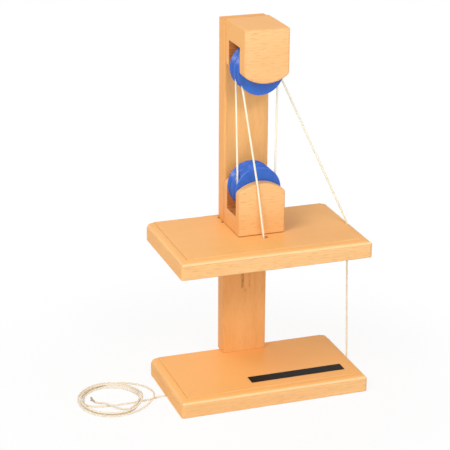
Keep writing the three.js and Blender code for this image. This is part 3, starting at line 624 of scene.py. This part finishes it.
def cornered(points, radius):
    """A route of straight legs whose inner corners are turned into arcs about radius wide."""
    steps = 6
    route = [Vector(points[0])]
    for before, here, after in zip(points, points[1:], points[2:]):
        before, here, after = Vector(before), Vector(here), Vector(after)
        start = here + (before - here).normalized() * radius
        end = here + (after - here).normalized() * radius
        for step in range(steps + 1):
            t = step / steps
            route.append(start * (1 - t) ** 2 + here * 2 * t * (1 - t) + end * t * t)
    return [*route, Vector(points[-1])]


def touch_angle(outside, z, side):
    """Where a line from an outside point touches the cord's circle round an axle at height z."""
    towards = math.atan2(outside.z - z, outside.x)
    return towards + side * math.acos(PITCH_RADIUS / math.hypot(outside.x, outside.z - z))


def round_sheave(y, z, start, end):
    """The cord's middle line round a sheave, between two angles."""
    steps = 56
    route = []
    for step in range(steps + 1):
        angle = start + (end - start) * step / steps
        route.append(Vector((PITCH_RADIUS * math.cos(angle), y, z + PITCH_RADIUS * math.sin(angle))))
    return route


def cord_piece(name, route, run, radius=CORD_RADIUS, capped=False):
    """A cord's mesh along a route in millimetres. It carries the run and the way round for the braid."""
    sides = 10
    route = [Vector(point) for point in route]
    count = len(route)
    tangents = []
    for i in range(count):
        before = route[max(i - 1, 0)]
        after = route[min(i + 1, count - 1)]
        tangents.append((after - before).normalized())
    side = tangents[0].orthogonal().normalized()
    points, runs, sines, cosines = [], [], [], []
    for i, (middle, tangent) in enumerate(zip(route, tangents)):
        if i:
            side = (tangents[i - 1].rotation_difference(tangent) @ side).normalized()
            run += (middle - route[i - 1]).length
        side = (side - tangent * side.dot(tangent)).normalized()
        other = tangent.cross(side)
        for step in range(sides):
            angle = 2 * math.pi * step / sides
            points.append(middle + (side * math.cos(angle) + other * math.sin(angle)) * radius)
            runs.append(run)
            sines.append(math.sin(angle))
            cosines.append(math.cos(angle))
    faces = []
    for i in range(count - 1):
        here, there = i * sides, (i + 1) * sides
        for step in range(sides):
            beside = (step + 1) % sides
            faces.append((here + step, here + beside, there + beside, there + step))
    if capped:
        faces.append(tuple(reversed(range(sides))))
        faces.append(tuple(range((count - 1) * sides, count * sides)))
    mesh = mesh_of(name, points, faces)
    for attribute, values in (("run", runs), ("round_sine", sines), ("round_cosine", cosines)):
        mesh.attributes.new(attribute, "FLOAT", "POINT").data.foreach_set("value", values)
    return new_piece(name, mesh, CORD), run


def overhand(centre, axis, width, height, turn=0):
    """The middle line of a tight overhand knot, drawn out along an axis that its two ends run on along."""
    across = Quaternion(axis, turn) @ axis.orthogonal().normalized()
    third = axis.cross(across)
    ring = width / 2 - KNOT_INSET
    reach = height / 2 - KNOT_INSET
    steps = 60
    opening, closed_share = 0.06, 0.88
    lobes, outer, inner = 1.5, 0.9, 0.25
    route = []
    for step in range(steps + 1):
        t = 2 * math.pi * (opening + closed_share * step / steps)
        spread = ring * (0.5 + 0.5 * math.cos(lobes * t))
        route.append(
            centre
            + across * (spread * math.cos(t) * outer + inner * ring * math.cos(t))
            + third * (spread * math.sin(t) * outer + inner * ring * math.sin(t))
            + axis * (reach * math.sin(lobes * t))
        )
    return route


# Camera, light and floor

# Azimuth, elevation and roll in degrees, aim and distance in millimetres, and length of the lens
CAMERA_ANGLES = (-19.25, 20.34, 0.32)
CAMERA_AIM = (-41.71, -16, 187.4)
CAMERA_DISTANCE = 1667.54
CAMERA_LENS = 132.1

# Name, azimuth and elevation in degrees, distance and width in metres, and power in watts
LAMPS = (
    ("front lamp", 3, 37, 2.2, 0.45, 12.0),
    ("left lamp", -60, 46, 2.0, 0.9, 16.2),
    ("low left lamp", -48, 18, 2.0, 0.45, 3.6),
    ("right lamp", 28, 19, 2.0, 0.35, 4.3),
    ("back lamp", 208, 44, 2.2, 1.2, 6),
)
LAMP_AIM = (0, 0, 0.18)
ROOM_LIGHT = 0.33
ROOM_TINT = (1, 0.94, 0.82, 1)
WHITE = (1, 1, 1, 1)

# Floor in millimetres
FLOOR_REACH = 9000
FLOOR_HEIGHT = -0.05
FLOOR_COLOUR = (0.93, 0.93, 0.93, 1)

# Shadow on the floor: its middle and where it ends and is full, in metres, and how much of it shows
SHADOW_X = -0.03
SHADOW_REACH = (0.36, 0.16)
SHADOW_SHARE = 0.1


def set_camera():
    """The photograph's view: from the left and above, through a long lens."""
    azimuth, elevation, roll = (math.radians(angle) for angle in CAMERA_ANGLES)
    aim = Vector(CAMERA_AIM) * MM
    level = math.cos(elevation)
    back = Vector((math.sin(azimuth) * level, -math.cos(azimuth) * level, math.sin(elevation)))
    right = Vector((math.cos(azimuth), math.sin(azimuth), 0))
    up = back.cross(right)
    rolled_right = right * math.cos(roll) + up * math.sin(roll)
    rolled_up = up * math.cos(roll) - right * math.sin(roll)
    lens = bpy.data.cameras.new("camera")
    lens.sensor_width = 36
    lens.lens = CAMERA_LENS
    lens.clip_start = 0.05
    lens.clip_end = 60
    camera = bpy.data.objects.new("camera", lens)
    bpy.context.scene.collection.objects.link(camera)
    place = Matrix((rolled_right, rolled_up, back)).transposed().to_4x4()
    place.translation = aim + back * CAMERA_DISTANCE * MM
    camera.matrix_world = place
    bpy.context.scene.camera = camera


def soft_lamp(name, azimuth, elevation, distance, width, power):
    """A square lamp that looks at the middle of the object."""
    lamp = bpy.data.lights.new(name, "AREA")
    lamp.shape = "SQUARE"
    lamp.size = width
    lamp.energy = power
    holder = bpy.data.objects.new(name, lamp)
    bpy.context.scene.collection.objects.link(holder)
    turn, rise = math.radians(azimuth), math.radians(elevation)
    way = Vector((math.sin(turn) * math.cos(rise), -math.cos(turn) * math.cos(rise), math.sin(rise)))
    holder.location = Vector(LAMP_AIM) + way * distance
    holder.rotation_euler = way.to_track_quat("Z", "Y").to_euler()


def seen_directly(around):
    """1 for what the camera, a mirror or glass sees of the surroundings, 0 for the light that they give."""
    path = around.node("ShaderNodeLightPath").socket.node
    camera, mirror, glass = (
        Wire(around, path.outputs[f"Is {name} Ray"]) for name in ("Camera", "Glossy", "Transmission")
    )
    return camera.larger(mirror).larger(glass)


def white_room():
    """White surroundings: full white where they are seen, and a softer light on the object."""
    world = bpy.data.worlds.new("white room")
    bpy.context.scene.world = world
    room = Finish(world)
    seen = seen_directly(room)
    tint = room.mixed(seen, ROOM_TINT, WHITE)
    strength = ROOM_LIGHT + seen * (1 - ROOM_LIGHT)
    room.ends(room.node("ShaderNodeBackground", inputs={"Color": tint, "Strength": strength}), "World")


def pale_floor():
    """White table top: plain white where it is seen, with part of the object's soft shadow near it."""
    floor = finish("white floor")
    here = floor.split(floor.node("ShaderNodeTexCoord", output="Object"))
    distance = ((here[X] - SHADOW_X) ** 2 + here[Y] ** 2) ** 0.5
    near = distance.rising(*SHADOW_REACH)
    grain = floor.cloudy((3, 3, 3))
    plain = floor.node(
        "ShaderNodeBsdfPrincipled",
        inputs={"Base Color": FLOOR_COLOUR, "Roughness": 0.7 + grain * 0.1, "Specular IOR Level": 0},
    )
    glow = floor.node("ShaderNodeEmission", inputs={"Color": WHITE, "Strength": 1})
    share = seen_directly(floor) * (1 - near * SHADOW_SHARE)
    floor.ends(floor.node("ShaderNodeMixShader", inputs={0: share, 1: plain, 2: glow}))
    ways = ((-1, -1), (1, -1), (1, 1), (-1, 1))
    points = [(x * FLOOR_REACH, y * FLOOR_REACH, FLOOR_HEIGHT) for x, y in ways]
    mesh = mesh_of("floor", points, [(0, 1, 2, 3)], smooth=False)
    mesh.materials.append(floor.owner)
    table = bpy.data.objects.new("floor", mesh)
    bpy.context.scene.collection.objects.link(table)


set_camera()
white_room()
pale_floor()
for lamp_facts in LAMPS:
    soft_lamp(*lamp_facts)
bpy.context.scene.view_settings.view_transform = "Standard"


# Cords of the tackle

CORD = braided_cord("braided cream cord")

GUIDE = Vector((PLATFORM_GUIDE_X, GUIDE_Y, GUIDE_TOP))
LEFT_TOUCH = touch_angle(CHEEK_EDGE, UPPER_AXLE, -1) + 2 * math.pi
FRONT_OVER = round_sheave(UPPER_FRONT_GROOVE, UPPER_AXLE, LEFT_TOUCH, 0)
LOWER_UNDER = round_sheave(LOWER_FRONT_GROOVE, LOWER_AXLE, 0, -math.pi)
REAR_OVER = round_sheave(UPPER_REAR_GROOVE, UPPER_AXLE, math.pi, touch_angle(GUIDE, UPPER_AXLE, 1))
BECKET_TURN = CHEEK_EDGE + (FRONT_OVER[0] - CHEEK_EDGE).normalized() * PAST_EDGE
GUIDE_TURN = GUIDE + (REAR_OVER[-1] - GUIDE).normalized() * PAST_EDGE


def tackle_cord():
    """The rove cord, from its knot under the platform over and under the sheaves and down to the base."""
    up_the_cheek = [(*BECKET, BECKET_START), (*BECKET, BECKET_BEND), CHEEK_EDGE, BECKET_TURN]
    becket = cornered(up_the_cheek, BECKET_BEND_RADIUS)
    guide_foot = (PLATFORM_GUIDE_X, GUIDE_Y, PLATFORM_BOTTOM)
    base_notch = (BASE_GUIDE_X, GUIDE_Y, BASE_TOP)
    guide = cornered([guide_foot, GUIDE, GUIDE_TURN], PLATFORM_GUIDE_BEND)
    bend = [base_notch]
    bend_steps = 12
    for step in range(bend_steps + 1):
        angle = math.radians(-90 * step / bend_steps)
        x = BASE_GUIDE_X - BASE_GUIDE_BEND + BASE_GUIDE_BEND * math.cos(angle)
        z = CORD_REST + BASE_GUIDE_BEND + BASE_GUIDE_BEND * math.sin(angle)
        bend.append((x, GUIDE_Y, z))
    bend.append((BASE_LEFT, GUIDE_Y, CORD_REST))
    stretches = [
        ("cord_from_becket", becket, "cord_becket", ["platform"]),
        ("cord_up_left", [BECKET_TURN, FRONT_OVER[0]], "cord_front_left", ["platform", "stand"]),
        ("cord_over_front_sheave", FRONT_OVER, "cord_over_front", ["stand"]),
        ("cord_down_right", [FRONT_OVER[-1], LOWER_UNDER[0]], "cord_front_right", ["stand", "platform"]),
        ("cord_under_lower_sheave", LOWER_UNDER, "cord_under_lower", ["platform"]),
        ("cord_up_rear", [LOWER_UNDER[-1], REAR_OVER[0]], "cord_rear_left", ["platform", "stand"]),
        ("cord_over_rear_sheave", REAR_OVER, "cord_over_rear", ["stand"]),
        ("cord_down_slant", [REAR_OVER[-1], GUIDE_TURN], "cord_haul_slant", ["stand", "platform"]),
        ("cord_through_platform", list(reversed(guide)), "cord_platform_guide", ["platform"]),
        ("cord_down_to_base", [guide_foot, base_notch], "cord_haul_drop", ["platform", "stand"]),
        ("cord_below_base", bend, "cord_under_base", ["stand"]),
    ]
    run = 0
    for name, route, node, bodies in stretches:
        piece, run = cord_piece(name, spaced(route, CORD_SPACING), run)
        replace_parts(piece, node)
        if len(bodies) == 1:
            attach(piece, bodies[0])
        else:
            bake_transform(piece)
    return run


def becket_knot():
    """Overhand knot that stops the cord in the counterbore under the platform."""
    middle = Vector((*BECKET, BECKET_KNOT_TOP - BECKET_KNOT_HEIGHT / 2))
    route = overhand(middle, Vector((0, 0, 1)), KNOT_WIDTH, BECKET_KNOT_HEIGHT)
    fine = spaced(route, KNOT_SPACING)
    piece, _ = cord_piece("knot_under_platform", fine, 0, BECKET_KNOT_CORD, capped=True)
    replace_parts(piece, "becket_knot")
    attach(piece, "platform")


# Free cord

LEAD = [
    (-106, -6.1), (-110.5, -6.9), (-116, -8.2), (-123, -9.7), (-131, -10.5), (-140, -10.9),
    (-150, -11.2), (-158, -11.2), (-166, -10.6), (-173, -9.2), (-179.3, -7.3), (-184.2, -4.6),
]
FREE_END = [
    (-152.5, -28.2, 4.1), (-156.8, -26, 4.1), (-160.6, -21.8, 4.1), (-164, -16.5, 4.1),
    (-167.2, -10.8, 4.1), (-170.2, -6.2, 3.4), (-173, -2.3, 2), (-175.4, 0.8, 1.4),
]
END_KNOT = Vector((-178.4, 4.6, 3.2))
END_KNOT_REACH = 2.4

# The coil: its middle, the angle where it starts, its turns, and the turns after which it goes back inwards
COIL_MIDDLE = (-160, 0.5)
COIL_START = math.radians(-190)
COIL_TURNS = 3.64
COIL_REVERSAL = 2
COIL_RADIUS = 28
COIL_GROWTH = 2.8
COIL_OVAL = 3
POINTS_A_TURN = 24

# The one loose loop of the coil: how far it stands out, and its middle and width in turns
LOOSE_LOOP = 15
LOOSE_MIDDLE = 1.43
LOOSE_WIDTH = 0.56

# The climb on to the second layer, and the low bridge where the coil passes over the lead
CLIMB_START = 1.75
CLIMB_TURNS = 0.5
LAYER_HEIGHT = 2.8
BRIDGE_ANGLE = math.radians(-18)
BRIDGE_HEIGHT = 3
BRIDGE_NARROWNESS = 8

# A short step along the coil in turns, and the length by which its ends run straight on
SHORT_STEP = 1 / 576
RUN_ON = 2


def coil_point(turns):
    """A point of the coil: it spirals out on the table with one loose loop, climbs, and spirals in on top."""
    angle = COIL_START - 2 * math.pi * turns
    from_loose = (turns - LOOSE_MIDDLE) / LOOSE_WIDTH
    loose = math.cos(math.pi * from_loose) ** 2 if abs(from_loose) < 0.5 else 0
    growth = COIL_GROWTH * (COIL_REVERSAL - abs(turns - COIL_REVERSAL))
    radius = COIL_RADIUS + growth + COIL_OVAL * math.sin(angle) ** 2 + LOOSE_LOOP * loose
    climb = min(max((turns - CLIMB_START) / CLIMB_TURNS, 0), 1)
    bridge = max(math.cos(angle - BRIDGE_ANGLE), 0) ** BRIDGE_NARROWNESS
    height = CORD_REST + LAYER_HEIGHT * climb * climb * (3 - 2 * climb) + BRIDGE_HEIGHT * bridge
    x, y = COIL_MIDDLE
    return Vector((x + radius * math.cos(angle), y + radius * math.sin(angle), height))


def free_route():
    """The free cord from the left of the base: its lead, the coil and the free end up to the knot."""
    steps = round(COIL_TURNS * POINTS_A_TURN)
    coil = [coil_point(COIL_TURNS * i / steps) for i in range(steps + 1)]
    into = (coil_point(0) - coil_point(SHORT_STEP)).normalized() * RUN_ON
    out = (coil_point(COIL_TURNS) - coil_point(COIL_TURNS - SHORT_STEP)).normalized() * RUN_ON
    exit_point = Vector((BASE_LEFT, GUIDE_Y, CORD_REST))
    lead = [exit_point, *(Vector((x, y, CORD_REST)) for x, y in LEAD), coil[0] + into * 2]
    along = ((END_KNOT - Vector(FREE_END[-1])) * Vector((1, 1, 0))).normalized()
    tip = END_KNOT - along * END_KNOT_REACH
    tip.z = CORD_REST
    free_end = [coil[-1] + out * 2, *(Vector(point) for point in FREE_END), tip]
    return through([*lead, coil[0] + into, *coil, coil[-1] + out, *free_end], CORD_SPACING), along


def free_cord(run):
    """The coil on the table in one piece with its lead and its free end, and the knot that ends it."""
    route, along = free_route()
    piece, run = cord_piece("free_cord", route, run, capped=True)
    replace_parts(piece, "cord_lead", "cord_coil", "cord_free_end")
    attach(piece, "stand")
    line = overhand(END_KNOT, along, KNOT_WIDTH, END_KNOT_HEIGHT, END_KNOT_TURN)
    knot, _ = cord_piece("end_knot", spaced(line, KNOT_SPACING), run, END_KNOT_CORD, capped=True)
    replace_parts(knot, "cord_end_knot")
    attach(knot, "stand")
    length = sum((b - a).length for a, b in zip(route, route[1:]))


free_cord(tackle_cord())
becket_knot()


# Wooden pieces


def wooden_pieces():
    """The boards, the post and the blocks, with their edges sanded and each with a grain of its own.

    Each row says the node, its body, the axis of its grain, the shift of its pattern, its colour, how much
    painted shade darkens and warms its top and sides, how strong its flecks are, the width sanded off its
    edges, and its marks.
    """
    pieces = [
        ("base_board", "stand", X, (3.1, 0.4, 7.7), (252, 205, 146), 0.95, 0.3, 0.35, base_marks),
        ("post", "stand", Z, (9.3, 5.2, 1.4), (251, 194, 126), 0.9, 0.2, 0.25, post_streaks),
        ("upper_block", "stand", X, (1.7, 8.8, 3.6), (252, 203, 143), 0.9, 0.38, 0.9, upper_block_marks),
        ("platform_board", "platform", X, (6.2, 2.5, 0.9), (252, 204, 144), 0.8, 0.3, 0.35, platform_marks),
        ("keeper_strip", "platform", X, (4.4, 7.1, 5.8), (244, 186, 116), 0, 0.3, 0.2, None),
        ("lower_block", "platform", X, (8.4, 3.3, 2.2), (252, 201, 139), 0.5, 0.38, 0.9, lower_block_marks),
    ]
    for node, body, grain, shift, hue, top_and_side_shade, flecked, width, marks in pieces:
        wood = beech(f"beech {node.replace('_', ' ')}", grain, shift, hue, top_and_side_shade, flecked, marks)
        eased(node, body, wood, f"{node}_sanded", width)


wooden_pieces()


# Sheaves, axles and screws


def sheave_profile():
    """Half section of a sheave: plain faces, rounded rims and a groove with a round floor."""
    side = [
        (SHEAVE_BORE, -SHEAVE_HALF_WIDTH, 0.25),
        (SHEAVE_RADIUS, -SHEAVE_HALF_WIDTH, 1.2),
        (SHEAVE_RADIUS, -GROOVE_MOUTH, 0.4),
        (GROOVE_FLOOR, -GROOVE_FLOOR_HALF, 0.8),
    ]
    other = [(radius, -along, rounding) for radius, along, rounding in reversed(side)]
    return rounded_profile([*side, *other])


def sheaves():
    """The four sheaves, each on a body of its own, so that they turn."""
    blue = moulded_blue("moulded blue plastic")
    sides = 96
    places = [
        ("upper_front_sheave", "upper_front_wheel", UPPER_FRONT_GROOVE, UPPER_AXLE),
        ("upper_rear_sheave", "upper_rear_wheel", UPPER_REAR_GROOVE, UPPER_AXLE),
        ("lower_front_sheave", "lower_front_wheel", LOWER_FRONT_GROOVE, LOWER_AXLE),
        ("lower_rear_sheave", "lower_rear_wheel", LOWER_REAR_GROOVE, LOWER_AXLE),
    ]
    for node, body, y, z in places:
        piece = turned_piece(f"{node}_moulded", sheave_profile(), sides, blue)
        piece.location = Vector((0, y, z)) * MM
        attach(piece, body)
        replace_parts(piece, node)


def screw_mesh(name, shank, head, length):
    """A countersunk screw along +Y from its head, with a cross recess and a pointed end."""
    shape = bmesh.new()
    sides = 32
    chamfer, point, tip = 0.12, 3, 0.2
    recess_arm, recess_slot, recess_depth, recess_foot = 0.58, 0.13, 0.5, 0.45

    def ring(radius, y):
        return [
            shape.verts.new((radius * math.cos(a) * MM, y * MM, radius * math.sin(a) * MM))
            for a in (2 * math.pi * i / sides for i in range(sides))
        ]

    def cross(scale, y):
        arm, slot = head * recess_arm * scale, head * recess_slot * scale
        quarter = [(arm, -slot), (arm, slot), (slot, slot)]
        spots = []
        for turn in range(4):
            for x, z in quarter:
                for _ in range(turn):
                    x, z = -z, x
                spots.append(shape.verts.new((x * MM, y * MM, z * MM)))
        return spots

    def skin(first, second):
        count = len(first)
        for i in range(count):
            j = (i + 1) % count
            shape.faces.new((first[i], first[j], second[j], second[i]))

    rings = [
        ring(head - chamfer, 0),
        ring(head, chamfer),
        ring(shank, head - shank),
        ring(shank, length - point),
        ring(tip, length),
    ]
    for first, second in zip(rings, rings[1:]):
        skin(first, second)
    shape.faces.new(rings[-1])
    rim, floor = cross(1, 0), cross(recess_foot, head * recess_depth)
    skin(rim, floor)
    shape.faces.new(floor)
    edges = [
        shape.edges.get((loop[i], loop[(i + 1) % len(loop)]))
        for loop in (rings[0], rim)
        for i in range(len(loop))
    ]
    bmesh.ops.triangle_fill(shape, use_beauty=True, edges=edges)
    bmesh.ops.recalc_face_normals(shape, faces=shape.faces)
    mesh = bpy.data.meshes.new(name)
    shape.to_mesh(mesh)
    shape.free()
    return mesh


def screws(steel):
    """The countersunk screws, each turned to its own angle, sunk just below the wood.

    Each row says the kind, the body, the place of the right one's head, the way in, the radius of the shank
    and of the head, and the length.
    """
    up, forward = Vector((0, 0, 1)), Vector((0, -1, 0))
    kinds = [
        ("post_screw", "stand", (13, 44.5, 0.3), up, 1.9, 3.8, 34),
        ("upper_block_screw", "stand", (13, 56.7, 375.5), forward, 1.9, 3.8, 34),
        ("lower_block_screw", "platform", (13, 13, 151.3), up, 1.9, 3.8, 34),
        ("keeper_screw", "platform", (31.65, 60.7, 160.5), forward, 1.3, 2.7, 15.6),
    ]
    for turn, (kind, body, (x, y, z), into, shank, head, length) in enumerate(kinds):
        aim = Vector((0, 1, 0)).rotation_difference(into)
        for name, side in (("left", -1), ("right", 1)):
            node = f"{kind}_{name}"
            piece = new_piece(f"{node}_steel", screw_mesh(node, shank, head, length), steel)
            own = Quaternion((0, 1, 0), TURN_BY_KIND * turn + TURN_BY_SIDE * side)
            place = Matrix.Translation(Vector((side * x, y, z)) * MM)
            piece.matrix_world = place @ (aim @ own).to_matrix().to_4x4()
            shaded(piece, SCREW_CRISP_PAST)
            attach(piece, body)
            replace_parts(piece, node)


def dress_nodes(steel):
    """Steel on the axles and the spacer, which keep their CAD shape, and the strip with its edges eased."""
    for node in ("upper_axle", "lower_axle", "upper_spacer"):
        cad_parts[node].data.materials.clear()
        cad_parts[node].data.materials.append(steel)
    plate = black_plate("bare black strip")
    eased("name_strip", "stand", plate, "bare_strip", STRIP_EASED)


STEEL = plated_steel("zinc plated steel")
sheaves()
screws(STEEL)
dress_nodes(STEEL)
